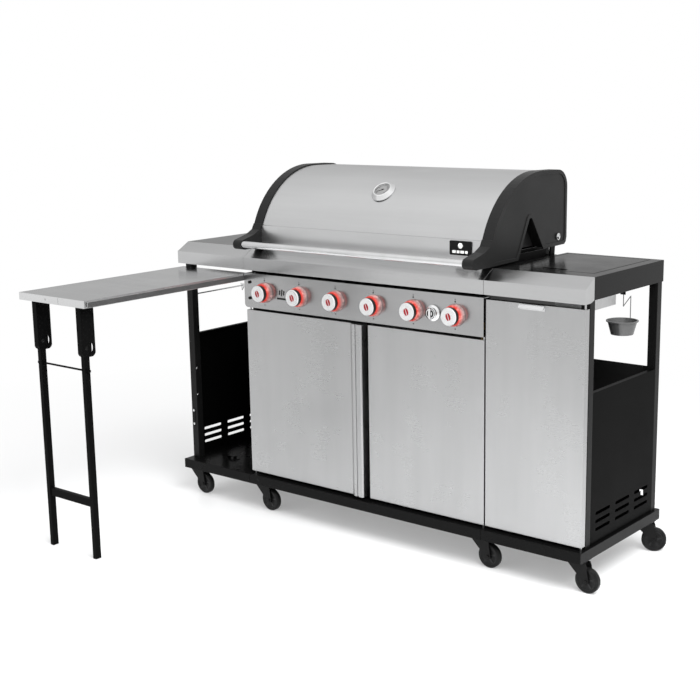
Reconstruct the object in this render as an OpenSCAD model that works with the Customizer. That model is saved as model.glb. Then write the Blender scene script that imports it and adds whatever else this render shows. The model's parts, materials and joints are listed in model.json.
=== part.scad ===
// Gas barbecue grill: a two-door cabinet with six burners between an open side
// module with a fold-down table and a closed side module with a side burner.
// Millimetres, +Z up, front towards -Y, the long side along X.

/* [Base] */
// Length of the three base frames together
base_len = 1600; // [1560:10:1680]
// Depth of the base frames
base_depth = 490; // [480:5:520]
// Width of the open left module
left_w = 320; // [310:5:330]
// Width of the right module
right_w = 334; // [330:2:350]
// Height of the base frames' underside above the floor
base_z = 95; // [94:1:100]

/* [Cabinet] */
// Working height of the side shelves
shelf_z = 900; // [895:1:920]
// Height of the low side and back panels
panel_top_z = 574; // [500:5:620]
// Height of the top edge of the two main doors
door_top_z = 695; // [680:1:698]
// Front plane of the doors
door_y = 20; // [19:0.5:21]

/* [Lid] */
// Radius of the lid's curved front
lid_r = 290; // [284:1:292]
// Width of each cast end cap
cap_w = 36; // [34:1:40]
// Radius of the handle tube
handle_r = 11; // [9:0.5:12]

/* [Controls] */
// Distance between neighbouring burner knobs
knob_pitch = 152; // [145:0.5:154]
// Radius of a burner knob
knob_r = 27; // [24:0.5:29]

/* [Table] */
// Length of the fold-down table from its rear edge
table_len = 692; // [670:2:700]
// Width of the fold-down table
table_w = 312; // [300:1:312]
// Height of the table top
table_z = 816; // [812:1:817]

/* [Casters] */
// Radius of a caster wheel
wheel_r = 37.5; // [36:0.5:38]
// Distance from the swivel axis to the wheel axle
trail = 31; // [28:1:34]

/* [Hidden] */
$fn = 48;

// Sheet thickness, running clearance and cutting overlap
sheet = 2;
run = 0.05;
cut = 1;

// Base and module limits along X
xa = left_w;
xb = base_len - right_w;
body_x1 = base_len - 8;
seam = 0.5;
deck_z = base_z + 32;
deck_t = 2.5;
flange_w = 62;

// Cabinet planes
back_y = 477.5;
wall_y = 46;
shelf_y = 62;
shelf_back_y = 480;
main_door_z = 136;
side_door_top_z = 815;
door_t = 20;
right_door_x = 834;
pull_x = 764;
hinge_in = 5;
left_edge_in = 11;
hinge_y = door_y + 7;
hinge_r = 3;
pin_x = [xa + 3 + hinge_in, xb - 2.5 - hinge_in, body_x1 - 2 - hinge_in];

// Posts and rails
post_w = 28;
post_d = 27;
inset = sheet + 0.3;
post_x = [inset, body_x1 - inset - post_w];
post_y = [44, back_y - post_d];
post_top_z = 870;
rail_h = 38;

// Front fascia outline
fascia_y = 11;
fascia_z = 830;
fascia_top_z = 871.5;

// Control panel
panel_y = 14;
panel_x0 = xa - 6;
panel_x1 = xb - 2;
panel_z0 = 705;
panel_z1 = 820;
knob_z = 760;
knob_x0 = 405.5;
side_knob_x = knob_x0 + 4.5 * knob_pitch;
burner_x = [for (i = [0:5]) knob_x0 + i * knob_pitch];
knob_h = 15;
bezel_h = 20;
bezel_r = 34;
bezel_top_r = 30;
knob_back_y = panel_y - bezel_h - 1.5;
side_knob_y = panel_y - 1.5;
stem_r = 4;
stem_y = [knob_back_y - 10, side_knob_y - 14];
button_x = 339;
button_z = [790, 737];
button_r = 5;

// Lid arc centre in the YZ plane, and the lid hinge
arc_y = 330;
arc_z = 872;
cap_x0 = xa + 3;
cap_x1 = xb - 3;
lid_back_y = 480;
lid_hinge = [428, 955];
lid_pin_r = 5;
handle_y = -30;
handle_z = 921;
lid_mid_x = (cap_x0 + cap_x1) / 2;
dial_x = lid_mid_x + 7;
dial_angle = 129;
dial_r = 40;

// Firebox
fire_x0 = cap_x0 + cap_w + 7;
fire_x1 = cap_x1 - cap_w - 7;
fire_y0 = 66;
fire_y1 = 448;
fire_z0 = 735;
fire_z1 = 926;
fire_t = 3;
wing_z = 893;
ledge_z = 892;
burner_r = 12;
tray_z = 708;
grate_t = 10;

// Right shelf, its burner well and the cover
well = [xb + 12, 120, xb + 292, 464];
well_z = 838;
cover_gap = 4;
cover_t = 7;
beam_z = 836;
cover_pin = [well[3] - 9, shelf_z - 3.5];
cover_pin_r = 3;

// Table hinge and folding legs
table_t = 23;
table_axis = [30, table_z - table_t / 2];
table_back_y = table_axis[0] + 6;
table_front_y = table_back_y - table_len;
table_pin_r = 4;
ear_x = [20, 300];
ear_w = 4;
ear_r = 7;
bracket_w = 20;
bracket_d = 51;
bracket_z = 637;
bracket_y = table_front_y + 15;
bracket_x = [41, table_w - 41 - bracket_w];
leg_w = 15;
leg_d = 20;
leg_y = bracket_y + 18;
leg_axis_z = 665;
leg_pin_r = 4;
stud_ring_r = 21;
stud_r = 2.5;
stud_angle = -52;
tie_z = 595;
crossbar_z = 166;

// Hanging bowl
bowl = [1580, 250];
bowl_r = 46;
bowl_rim_z = 752;
bowl_h = 40;
hook_z = 831;
wire_r = 1.25;
hook_pin_r = 1.5;

// Casters: swivel axes, and the angle each one trails at
swivel_in = [30, 42];
caster_x = [swivel_in[0], xa + 32, xb - 24, base_len - swivel_in[0]];
casters = [for (y = [swivel_in[1], base_depth - swivel_in[1] - 1], x = caster_x) [x, y]];
caster_turn = [0, 0, 0, 0, 20, -15, 10, 25];
wheel_w = 22;
axle_r = 4;
pin_r = 5;
plate_t = 3;

// Bottle pan in the main base frame
pan_c = [1010, 235];
pan_r = 152;
pan_z = 60;

// The row's origin is the centre of the overall box on the floor
box_x1 = base_len - swivel_in[0] + trail + wheel_r;
origin = [box_x1 / 2, (table_front_y + base_depth) / 2];

// ---- helpers -------------------------------------------------------------

module part(colour) {
    color(colour) translate([-origin[0], -origin[1], 0]) children();
}

module block(lo, hi) {
    translate(lo) cube([hi[0] - lo[0], hi[1] - lo[1], hi[2] - lo[2]]);
}

// Extrudes a YZ outline from x0 to x1
module x_prism(x0, x1, points) {
    translate([x0, 0, 0]) rotate([90, 0, 90]) linear_extrude(x1 - x0) polygon(points);
}

// The same, between two X values in either order
module x_slab(a, b, points) {
    x_prism(min(a, b), max(a, b), points);
}

// Extrudes an XZ outline from y0 to y1
module y_prism(y0, y1, points) {
    translate([0, y1, 0]) rotate([90, 0, 0]) linear_extrude(y1 - y0) polygon(points);
}

module x_rod(x0, x1, y, z, r) {
    translate([x0, y, z]) rotate([0, 90, 0]) cylinder(h = x1 - x0, r = r);
}

module y_rod(x, y0, y1, z, r) {
    translate([x, y1, z]) rotate([90, 0, 0]) cylinder(h = y1 - y0, r = r);
}

module z_rod(x, y, z0, z1, r) {
    translate([x, y, z0]) cylinder(h = z1 - z0, r = r);
}

// Rod between two points that share one X
module wire(x, from, to, r) {
    dy = to[0] - from[0];
    dz = to[1] - from[1];
    translate([x, from[0], from[1]]) rotate([-atan2(dy, dz), 0, 0])
        cylinder(h = norm([dy, dz]), r = r);
    translate([x, to[0], to[1]]) sphere(r = r);
}

// Shallow sheet pan that is open at the back, with a turned edge all round
module door_pan(x0, x1, z0, z1) {
    difference() {
        block([x0, door_y, z0], [x1, door_y + door_t, z1]);
        block([x0 + sheet, door_y + sheet, z0 + sheet],
              [x1 - sheet, door_y + door_t + cut, z1 - sheet]);
    }
}

// Pivot pins above and below a door
module door_pins(x, z0, z1, top) {
    z_rod(x, hinge_y, z0 - 11, z0 + sheet, hinge_r);
    z_rod(x, hinge_y, z1 - sheet, top, hinge_r);
}

function arc(r, a0, a1, n) =
    [for (i = [0:n]) let (a = a0 + (a1 - a0) * i / n) [arc_y + r * cos(a), arc_z + r * sin(a)]];

function corner(c, r, a0, a1, n) =
    [for (i = [0:n]) let (a = a0 + (a1 - a0) * i / n) [c[0] + r * cos(a), c[1] + r * sin(a)]];

// ---- base and frame ------------------------------------------------------

module base_tray(x0, x1) {
    difference() {
        block([x0 + seam, 0, base_z], [x1 - seam, base_depth, deck_z]);
        block([x0 + seam + sheet, sheet, base_z + sheet],
              [x1 - seam - sheet, base_depth - sheet, deck_z - deck_t]);
        block([x0 + flange_w, flange_w + 10, base_z - cut],
              [x1 - flange_w, base_depth - flange_w - 10, base_z + sheet + cut]);
    }
}

module base_frames() {
    strap = [137, 102];
    part("#2b2d2e") difference() {
        union() {
            base_tray(0, xa);
            base_tray(xa, xb);
            base_tray(xb, base_len);
            for (s = [-1, 1])
                block([strap[0] + s * 22 - 9, strap[1] - 8, deck_z],
                      [strap[0] + s * 22 + 9, strap[1] + 8, deck_z + 2]);
            block([strap[0] - 16, strap[1] - 8, deck_z + 8],
                  [strap[0] + 16, strap[1] + 8, deck_z + 10]);
            for (s = [-1, 1])
                block([strap[0] + s * 15 - 1, strap[1] - 8, deck_z],
                      [strap[0] + s * 15 + 1, strap[1] + 8, deck_z + 10]);
        }
        for (c = casters) z_rod(c[0], c[1], base_z - cut, base_z + sheet + cut, pin_r + 1);
        z_rod(pan_c[0], pan_c[1], base_z - cut, deck_z + cut, pan_r + 1);
        for (x = pin_x) z_rod(x, hinge_y, deck_z - deck_t - cut, deck_z + cut, hinge_r + run);
    }
}

module bottle_pan() {
    part("#232425") translate([pan_c[0], pan_c[1], 0]) difference() {
        union() {
            translate([0, 0, pan_z]) cylinder(h = deck_z - pan_z, r = pan_r);
            translate([0, 0, deck_z]) cylinder(h = sheet, r = pan_r + 12);
        }
        translate([0, 0, pan_z + sheet]) cylinder(h = deck_z, r = pan_r - sheet);
    }
}

module frame_members() {
    hinge_z = table_axis[1];
    part("#303233") {
        for (x = post_x) {
            for (y = post_y) block([x, y, deck_z], [x + post_w, y + post_d, post_top_z]);
            block([x, post_y[0] + post_d, shelf_z - sheet - rail_h],
                  [x + post_w, post_y[1], shelf_z - sheet - 0.2]);
        }
        block([post_x[0] + post_w, post_y[0] + 1, hinge_z - ear_r],
              [xa - 2, post_y[0] + 13, hinge_z + ear_r]);
        for (x = ear_x) difference() {
            union() {
                block([x, table_axis[0], hinge_z - ear_r],
                      [x + ear_w, post_y[0] + 2, hinge_z + ear_r]);
                x_rod(x, x + ear_w, table_axis[0], hinge_z, ear_r);
            }
            x_rod(x - cut, x + ear_w + cut, table_axis[0], hinge_z, table_pin_r + run);
        }
    }
}

// Low side panel with three columns of three vent slots and a turned top edge
module side_panel(x, inward) {
    slot_l = 86;
    slot_h = 10;
    y0 = post_y[0] + post_d;
    y1 = post_y[1];
    difference() {
        union() {
            block([min(x, x + inward * sheet), y0, deck_z],
                  [max(x, x + inward * sheet), y1, panel_top_z]);
            block([min(x, x + inward * 14), y0, panel_top_z - sheet],
                  [max(x, x + inward * 14), y1, panel_top_z]);
        }
        for (c = [-1:1], row = [0:2])
            translate([x - 5, (y0 + y1) / 2 + c * 118, 168 + row * 24])
                rotate([90, 0, 90]) linear_extrude(10) union() {
                    square([slot_l - slot_h, slot_h], center = true);
                    for (s = [-1, 1]) translate([s * (slot_l - slot_h) / 2, 0]) circle(d = slot_h);
                }
        if (inward < 0) block([x - 5, 378, 197], [x + 5, 398, 213]);
    }
}

module side_panels() {
    part("#1e1f20") {
        side_panel(inset, 1);
        side_panel(body_x1 - inset, -1);
    }
}

module inner_panels() {
    y0 = back_y - 1.5;
    step = [shelf_y + 1, fascia_z - 0.5];
    part("#1b1c1d") {
        for (x = [xa, xb - sheet])
            x_prism(x, x + sheet, [[wall_y, deck_z], [back_y, deck_z], [back_y, wing_z],
                                   [step[0], wing_z], [step[0], step[1]], [wall_y, step[1]]]);
        block([post_x[0] + post_w, y0, deck_z], [xa, back_y, panel_top_z]);
        block([xa + sheet, y0, deck_z], [xb - sheet, back_y, panel_z0 - 15]);
        difference() {
            block([xb, y0, deck_z], [post_x[1], back_y, panel_top_z]);
            block([body_x1 - 55, y0 - cut, 164], [body_x1 - 36, back_y + cut, 182]);
        }
    }
}

module towel_rail() {
    rail_x = 20;
    rail_z = 715;
    part("#b9bcbd") {
        y_rod(rail_x, post_y[0] + post_d, post_y[1], rail_z, 2.5);
        y_prism(302, 306, [[rail_x - 8, rail_z + 8], [rail_x + 8, rail_z + 8],
                           [rail_x + 8, rail_z - 4], [rail_x - 2, rail_z - 18]]);
    }
}

// ---- shelves and front ---------------------------------------------------

module shelf_left() {
    part("#a9acad") difference() {
        block([0, shelf_y, shelf_z - 34], [xa - seam, shelf_back_y, shelf_z]);
        block([sheet, shelf_y - cut, shelf_z - 35],
              [xa - seam - sheet, shelf_back_y - sheet, shelf_z - sheet]);
    }
}

module shelf_right() {
    lug = [bowl[0] - 8, bowl[0] + 8];
    part("#2a2b2c") difference() {
        union() {
            difference() {
                block([xb + seam, shelf_y, beam_z], [body_x1, shelf_back_y, shelf_z]);
                block([xb + seam + sheet, shelf_y - cut, beam_z + sheet],
                      [body_x1 - sheet, shelf_back_y - sheet, shelf_z - sheet]);
                block([xb, shelf_y - cut, beam_z - cut],
                      [body_x1 - sheet, shelf_back_y - sheet, beam_z + sheet + cut]);
            }
            block([post_x[1] + 4, post_y[0] + post_d + 1, beam_z],
                  [body_x1 - 1, post_y[1] - 1, beam_z + sheet]);
            block([well[0] - sheet, well[1] - sheet, well_z],
                  [well[2] + sheet, well[3] + sheet, shelf_z]);
            difference() {
                block([lug[0], bowl[1] - 1, hook_z - 5], [lug[1], bowl[1] + 1, beam_z + 1]);
                y_rod(bowl[0], bowl[1] - 2, bowl[1] + 2, hook_z, hook_pin_r + run);
            }
        }
        block([well[0], well[1], well_z + sheet], [well[2], well[3], shelf_z + cut]);
        x_rod(well[0] - 3, well[2] + 3, cover_pin[0], cover_pin[1], cover_pin_r + run);
    }
}

// Bent sheet with a bevelled top and closed ends
module fascia(x0, x1) {
    t = sheet;
    y1 = shelf_y - 0.3;
    rear_y = post_y[0] - 2;
    outline = [[fascia_y, fascia_z], [fascia_y, fascia_top_z], [y1, shelf_z], [y1, shelf_z - t],
               [fascia_y + t, fascia_top_z - 1.2], [fascia_y + t, fascia_z + t],
               [rear_y, fascia_z + t], [rear_y, fascia_z]];
    end = [[fascia_y, fascia_z], [fascia_y, fascia_top_z], [y1, shelf_z], [y1, fascia_z + 6],
           [rear_y, fascia_z]];
    x_prism(x0, x1, outline);
    for (x = [x0, x1 - 1.2]) x_prism(x, x + 1.2, end);
}

module front_fascias() {
    part("#b4b7b8") {
        fascia(xa - 5 + seam, xb - 1 - seam);
        difference() {
            union() {
                fascia(0, xa - 5 - seam);
                fascia(xb - 1 + seam, body_x1);
            }
            z_rod(pin_x[2], hinge_y, fascia_z - cut, fascia_z + 3, hinge_r + run);
            for (x = post_x)
                block([x - 0.2, post_y[0] - 0.5, fascia_z - cut],
                      [x + post_w + 0.2, shelf_y + cut, post_top_z + 0.5]);
        }
    }
}

module control_panel() {
    r = 13;
    y1 = panel_y + sheet;
    part("#b7babb") difference() {
        union() {
            translate([0, y1, 0]) rotate([90, 0, 0]) linear_extrude(sheet) union() {
                translate([panel_x0, panel_z0 + r])
                    square([panel_x1 - panel_x0, panel_z1 - panel_z0 - r]);
                translate([panel_x0 + r, panel_z0]) square([panel_x1 - panel_x0 - r, r + 1]);
                translate([panel_x0 + r, panel_z0 + r]) circle(r = r);
            }
            for (z = [panel_z0, panel_z1 - sheet])
                block([xa + 1, y1 - 0.5, z], [panel_x1, wall_y, z + sheet]);
        }
        for (x = concat(burner_x, side_knob_x)) y_rod(x, panel_y - cut, y1 + cut, knob_z, stem_r + 1);
        for (z = button_z) y_rod(button_x, panel_y - cut, y1 + cut, z, button_r + run);
        for (i = [0, 1])
            z_rod(pin_x[i], hinge_y, panel_z0 - cut, panel_z0 + 3, hinge_r + run);
    }
}

module knob_bezels() {
    wall = 4;
    part("#d8433a") for (x = burner_x)
        translate([x, panel_y, knob_z]) rotate([90, 0, 0]) rotate_extrude()
            polygon([[bezel_r - wall, 0], [bezel_r, 0], [bezel_r, 3], [bezel_top_r, bezel_h - 1],
                     [bezel_top_r - 1, bezel_h], [bezel_top_r - wall, bezel_h]]);
}

// ---- firebox and burners -------------------------------------------------

module firebox() {
    ear_x1 = [cap_x0 + 18, cap_x1 - 18];
    part("#202122") {
        difference() {
            block([fire_x0, fire_y0, fire_z0], [fire_x1, fire_y1, fire_z1]);
            block([fire_x0 + fire_t, fire_y0 + fire_t, fire_z0 + fire_t],
                  [fire_x1 - fire_t, fire_y1 - fire_t, fire_z1 + cut]);
            block([fire_x0 + 120, 150, fire_z0 - cut], [fire_x1 - 120, 360, fire_z0 + 4]);
            for (x = burner_x) y_rod(x, fire_y0 - cut, fire_y0 + fire_t + cut, knob_z, burner_r + 0.3);
        }
        for (y = [fire_y0 + fire_t, fire_y1 - fire_t - 12])
            block([fire_x0 + fire_t, y, ledge_z - 3], [fire_x1 - fire_t, y + 12, ledge_z]);
        for (x = [fire_x0 + 84, fire_x1 - 96]) {
            web = x < lid_mid_x ? x : x + 10;
            block([x, 100, tray_z - 2.5], [x + 12, fire_y1, tray_z - 0.5]);
            block([web, 100, tray_z - 2.5], [web + 2, fire_y1, fire_z0 + 1]);
        }
        for (s = [0, 1]) {
            edge = s == 0 ? [xa, fire_x0 + 1] : [fire_x1 - 1, xb];
            ear = ear_x1[s] - 3;
            block([edge[0], fire_y0, wing_z], [edge[1], fire_y1, wing_z + 3]);
            x_prism(ear, ear + 6, concat([[408, wing_z + 2], [434, wing_z + 2]],
                                         corner(lid_hinge, 11, -5, 185, 16)));
            x_rod(ear - 16, ear + 22, lid_hinge[0], lid_hinge[1], lid_pin_r);
            block([ear - 3, fire_y0 + 8, wing_z + 2], [ear, 392, shelf_z + 20]);
        }
    }
}

module tube_burners() {
    part("#9b9d9e") for (x = burner_x) difference() {
        y_rod(x, fire_y0 - 5, fire_y1 - 8, knob_z, burner_r);
        y_rod(x, fire_y0 - 6, fire_y1 - 10, knob_z, burner_r - 1.5);
    }
}

module flame_tamers() {
    w = 34;
    top = [850, 848];
    foot = [828, 826];
    part("#8d8f90") for (x = burner_x)
        y_prism(fire_y0 + 5, fire_y1 - 5,
                [[x - w, foot[0]], [x, top[0]], [x + w, foot[0]],
                 [x + w, foot[1]], [x, top[1]], [x - w, foot[1]]]);
}

module cooking_grates() {
    n = 3;
    gap = 2;
    x0 = fire_x0 + fire_t + 2;
    w = (fire_x1 - fire_x0 - 2 * fire_t - 4 - (n - 1) * gap) / n;
    y0 = fire_y0 + fire_t + 2;
    d = fire_y1 - fire_y0 - 2 * fire_t - 4;
    bars = 13;
    pitch = (w - 24) / bars;
    part("#191a1a") for (i = [0:n - 1])
        translate([x0 + i * (w + gap), y0, ledge_z]) linear_extrude(grate_t) difference() {
            square([w, d]);
            for (k = [0:bars - 1], h = [0, 1])
                translate([12 + k * pitch + 3, 14 + h * (d / 2 - 8)]) square([pitch - 6, d / 2 - 20]);
        }
}

module warming_rack() {
    x0 = fire_x0 + 40;
    x1 = fire_x1 - 40;
    z = 1010;
    n = 9;
    part("#a3a5a6") {
        translate([0, 0, z]) linear_extrude(5) difference() {
            translate([x0, 310]) square([x1 - x0, 112]);
            for (k = [0:n - 1]) translate([x0 + 6, 316 + k * 11.4]) square([x1 - x0 - 12, 7]);
        }
        for (x = [x0, x1 - 6]) block([x, fire_y1 - 32, fire_z1 - 40], [x + 6, fire_y1 - 26, z + 1]);
    }
}

module grease_tray() {
    x0 = fire_x0 + 90;
    x1 = fire_x1 - 90;
    z1 = tray_z + 22;
    part("#8f9293") {
        difference() {
            block([x0, 120, tray_z], [x1, 466, z1]);
            block([x0 + sheet, 122, tray_z + sheet], [x1 - sheet, 464, z1 + cut]);
        }
        difference() {
            block([lid_mid_x - 60, 465.5, tray_z - 4], [lid_mid_x + 60, back_y, z1]);
            block([lid_mid_x - 58, 467.5, tray_z - 6], [lid_mid_x + 58, back_y + cut, z1 - sheet]);
        }
    }
}

module gas_manifold() {
    pipe = [54, 732];
    inlet_x = xb - 32;
    part("#b08d4f") {
        difference() {
            x_rod(knob_x0 - 30, inlet_x, pipe[0], pipe[1], 8);
            x_rod(knob_x0 - 26, inlet_x - 4, pipe[0], pipe[1], 6);
        }
        for (x = concat(burner_x, side_knob_x)) {
            end_y = x == side_knob_x ? stem_y[1] : stem_y[0];
            block([x - 10, panel_y + 12, pipe[1] + 6], [x + 10, fire_y0 - 8, knob_z + 10]);
            y_rod(x, end_y, panel_y + 13, knob_z, stem_r);
        }
        for (x = burner_x) y_rod(x, fire_y0 - 9, fire_y0 + 6, knob_z, 4);
        z_rod(inlet_x, pipe[0], pipe[1] - 12, pipe[1] + 12, 11);
        z_rod(inlet_x, pipe[0], 690, pipe[1] - 11, 4.5);
    }
}

module side_burner() {
    c = [(well[0] + well[2]) / 2, (well[1] + well[3]) / 2 - 10];
    z0 = well_z + sheet;
    top = shelf_z - cover_t - 8;
    part("#3a3c3d") {
        z_rod(c[0], c[1], z0, z0 + 18, 22);
        z_rod(c[0], c[1], z0 + 17, z0 + 28, 45);
        translate([c[0], c[1], top - 6]) linear_extrude(6) union() {
            for (a = [0, 90]) rotate(a) square([240, 6], center = true);
            difference() {
                circle(r = 104);
                circle(r = 98);
            }
        }
        for (a = [0:90:270]) translate([c[0], c[1], z0]) rotate(a)
            translate([114, -3, 0]) cube([6, 6, top - z0 - 2]);
    }
}

module power_box() {
    x1 = post_x[1];
    part("#c3c6c6") block([x1 - 122, 110, well_z - 41], [x1, 243, well_z]);
}

// ---- lid -----------------------------------------------------------------

// Side outline of an end cap: arm, curved front, flat top and rear corner.
// inset shrinks the curved part, for the hollow inside.
function cap_front(inset) = arc(lid_r - inset, 158, 90, 20);
function cap_back(inset) = corner([lid_back_y - 55, 1105], 55 - inset, 90, 0, 8);

function cap_outline() = concat(
    [[handle_y + 8, 903]],
    corner([handle_y + 3, handle_z - 1], 16, 260, 100, 10),
    [[20, 948], [48, 962], [58, 980]],
    cap_front(0),
    cap_back(0),
    [[lid_back_y, 950], [476, 936], [466, 928], [342, 926], [200, 906], [55, 903]]);

// V notch in the side, grown by g
function cap_notch(g) = concat(
    [[200 - g, 890], [200 - g, 906], [214 - g, 932]],
    corner([268, 1016], 10 + g, 150, 30, 6),
    [[342 + g, 926], [342 + g, 890]]);

function cap_hollow() = concat(
    [[64, 890], [66, 975]], cap_front(6), cap_back(4), [[lid_back_y - 4, 976],
    [lid_back_y + 5, 970], [lid_back_y + 5, 890]]);

// Sunk panel on the outer face, a border's width inside the outline and the notch
function cap_panel(b) = concat(
    [[64 + b, 903 + b], [68 + b, 975]],
    arc(lid_r - b, 156, 90, 20),
    cap_back(b),
    [[lid_back_y - b, 954], [464, 940], [342 + b, 926 + b]],
    corner([268, 1016], 10 + b, 30, 150, 6),
    [[214 - b, 932], [200 - b, 903 + b]]);

module lid_cap(x_out, side) {
    x_in = x_out - side * cap_w;
    wall_out = x_out - side * 5;
    wall_in = x_in + side * 2;
    over = 0.5 * side;
    difference() {
        union() {
            difference() {
                x_slab(x_out, x_in, cap_outline());
                x_slab(wall_out, wall_in, cap_hollow());
                x_slab(x_out + side, wall_out - side, cap_notch(0));
                x_slab(x_out + side, x_out - side * 2.4, cap_panel(12));
            }
            // walls of the notch between the outer and inner faces
            difference() {
                x_slab(wall_out + over, wall_in - over, cap_notch(3));
                x_slab(x_out, x_in, cap_notch(0));
                x_slab(x_out, x_in, [[150, 880], [400, 880], [400, 931], [150, 931]]);
            }
        }
        x_rod(min(x_out, x_in) - cut, max(x_out, x_in) + cut, lid_hinge[0], lid_hinge[1],
              lid_pin_r + run);
        // the inner face ends above the firebox rim and clears the hinge ear
        x_slab(x_in - side, wall_in + side, [[60, 880], [lid_back_y + 10, 880], [lid_back_y + 10, 985],
                                             [395, 985], [395, 934], [60, 934]]);
    }
}

module lid_caps() {
    part("#26282a") {
        lid_cap(cap_x0, -1);
        lid_cap(cap_x1, 1);
    }
}

// Curved steel skin with a flat band below the crease
function skin(inset) = concat(
    [[58 + inset, 903], [60 + inset, 975]],
    arc(lid_r - 4 - inset, 158.5, 90, 24),
    corner([lid_back_y - 55, 1105], 51 - inset, 90, 0, 8),
    [[lid_back_y - 4 - inset, 977]]);

module lid_shell() {
    part("#bcbfc0") difference() {
        x_prism(cap_x0 + cap_w, cap_x1 - cap_w, skin(0));
        x_prism(cap_x0, cap_x1, concat(skin(sheet), [[lid_back_y - 6, 890], [60, 890]]));
        block([cap_x0, 100, 890], [cap_x1, lid_back_y + cut, 976.5]);
        translate([dial_x, arc_y, arc_z]) rotate([dial_angle - 90, 0, 0])
            cylinder(h = lid_r + 20, r = 5);
    }
}

module lid_handle() {
    part("#cfd1d2") difference() {
        x_rod(cap_x0 + cap_w, cap_x1 - cap_w, handle_y, handle_z, handle_r);
        x_rod(cap_x0 + cap_w + 3, cap_x1 - cap_w - 3, handle_y, handle_z, handle_r - 1.5);
    }
}

module thermometer() {
    seat = lid_r - 4;
    part("#c9cccd") translate([dial_x, arc_y, arc_z]) rotate([dial_angle - 90, 0, 0]) {
        translate([0, 0, seat]) rotate_extrude() polygon([
            [0, 0], [dial_r, 0], [dial_r, 3], [dial_r - 2, 5], [dial_r - 9, 13], [dial_r - 11, 14],
            [dial_r - 14, 13], [dial_r - 15, 9], [0, 9]]);
        translate([0, 0, seat - 40]) cylinder(h = 41, r = 4);
    }
}

// ---- doors ---------------------------------------------------------------

module door_left() {
    part("#b2b5b6") {
        door_pan(pin_x[0] - left_edge_in, pull_x, main_door_z, door_top_z);
        door_pins(pin_x[0], main_door_z, door_top_z, panel_z0 + sheet);
    }
}

module door_left_pull() {
    y = door_y;
    part("#c6c9ca") translate([0, 0, main_door_z]) linear_extrude(door_top_z - main_door_z)
        polygon([[pull_x + 0.02, y + door_t], [pull_x + 0.02, y], [pull_x + 14, y - 11],
                 [pull_x + 26, y - 13], [pull_x + 27, y - 9], [pull_x + 31, y - 9],
                 [pull_x + 32, y - 13], [pull_x + 48, y - 14], [pull_x + 52, y - 10],
                 [pull_x + 52, y + door_t]]);
}

module door_right() {
    part("#b2b5b6") {
        door_pan(right_door_x, pin_x[1] + hinge_in, main_door_z, door_top_z);
        door_pins(pin_x[1], main_door_z, door_top_z, panel_z0 + sheet);
    }
}

module door_side() {
    part("#b2b5b6") {
        door_pan(xb + 2.5, pin_x[2] + hinge_in, main_door_z, side_door_top_z);
        door_pins(pin_x[2], main_door_z, side_door_top_z, fascia_z + sheet);
    }
}

module side_door_tab() {
    x0 = 1382;
    z = side_door_top_z;
    y = door_y - 0.02;
    part("#e2e4e4") x_prism(x0, x0 + 81, [[y, z], [y, z - 16], [y - 2, z - 16], [y - 2, z - 5],
                                          [y - 12, z - 12], [y - 13.4, z - 10.6], [y - 3, z]]);
}

// ---- table and legs ------------------------------------------------------

module table_top() {
    y0 = table_front_y;
    y1 = table_back_y;
    z0 = table_z - table_t;
    part("#b9bcbd") {
        difference() {
            block([0, y0, z0], [table_w, y1, table_z]);
            block([sheet, y0 + sheet, z0 - cut], [table_w - sheet, y1 - sheet, table_z - sheet]);
            for (x = ear_x)
                block([x - 1, table_axis[0] - 10, z0 - cut],
                      [x + ear_w + 1, y1 + cut, table_axis[1] + ear_r + 1.5]);
            block([189, y0 - cut, z0 + 2], [190.5, y0 + 1, table_z - 2]);
        }
        x_rod(sheet / 2, table_w - sheet / 2, table_axis[0], table_axis[1], table_pin_r);
    }
}

module leg_brackets() {
    z1 = table_z - sheet;
    part("#141515") for (x = bracket_x) {
        difference() {
            block([x, bracket_y, bracket_z], [x + bracket_w, bracket_y + bracket_d, z1]);
            block([x + sheet, bracket_y + sheet, bracket_z - cut],
                  [x + bracket_w - sheet, bracket_y + bracket_d + cut, z1 - sheet]);
            for (a = [-1, 1]) translate([x - cut, bracket_y + bracket_d / 2, bracket_z])
                rotate([90, 0, 90]) linear_extrude(bracket_w + 2 * cut)
                    polygon([[a * 30, -1], [a * 30, 12], [a * 26, 12], [a * 22, 5], [a * 14, -1]]);
            translate([x - cut, leg_y, leg_axis_z]) rotate([90, 0, 90])
                linear_extrude(bracket_w + 2 * cut) polygon(concat(
                    [for (i = [0:9]) let (t = stud_angle - 9 + i * 12)
                        [(stud_ring_r - 3.2) * cos(t), (stud_ring_r - 3.2) * sin(t)]],
                    [for (i = [9:-1:0]) let (t = stud_angle - 9 + i * 12)
                        [(stud_ring_r + 3.2) * cos(t), (stud_ring_r + 3.2) * sin(t)]]));
        }
        x_rod(x, x + bracket_w, leg_y, leg_axis_z, leg_pin_r);
    }
}

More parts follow.
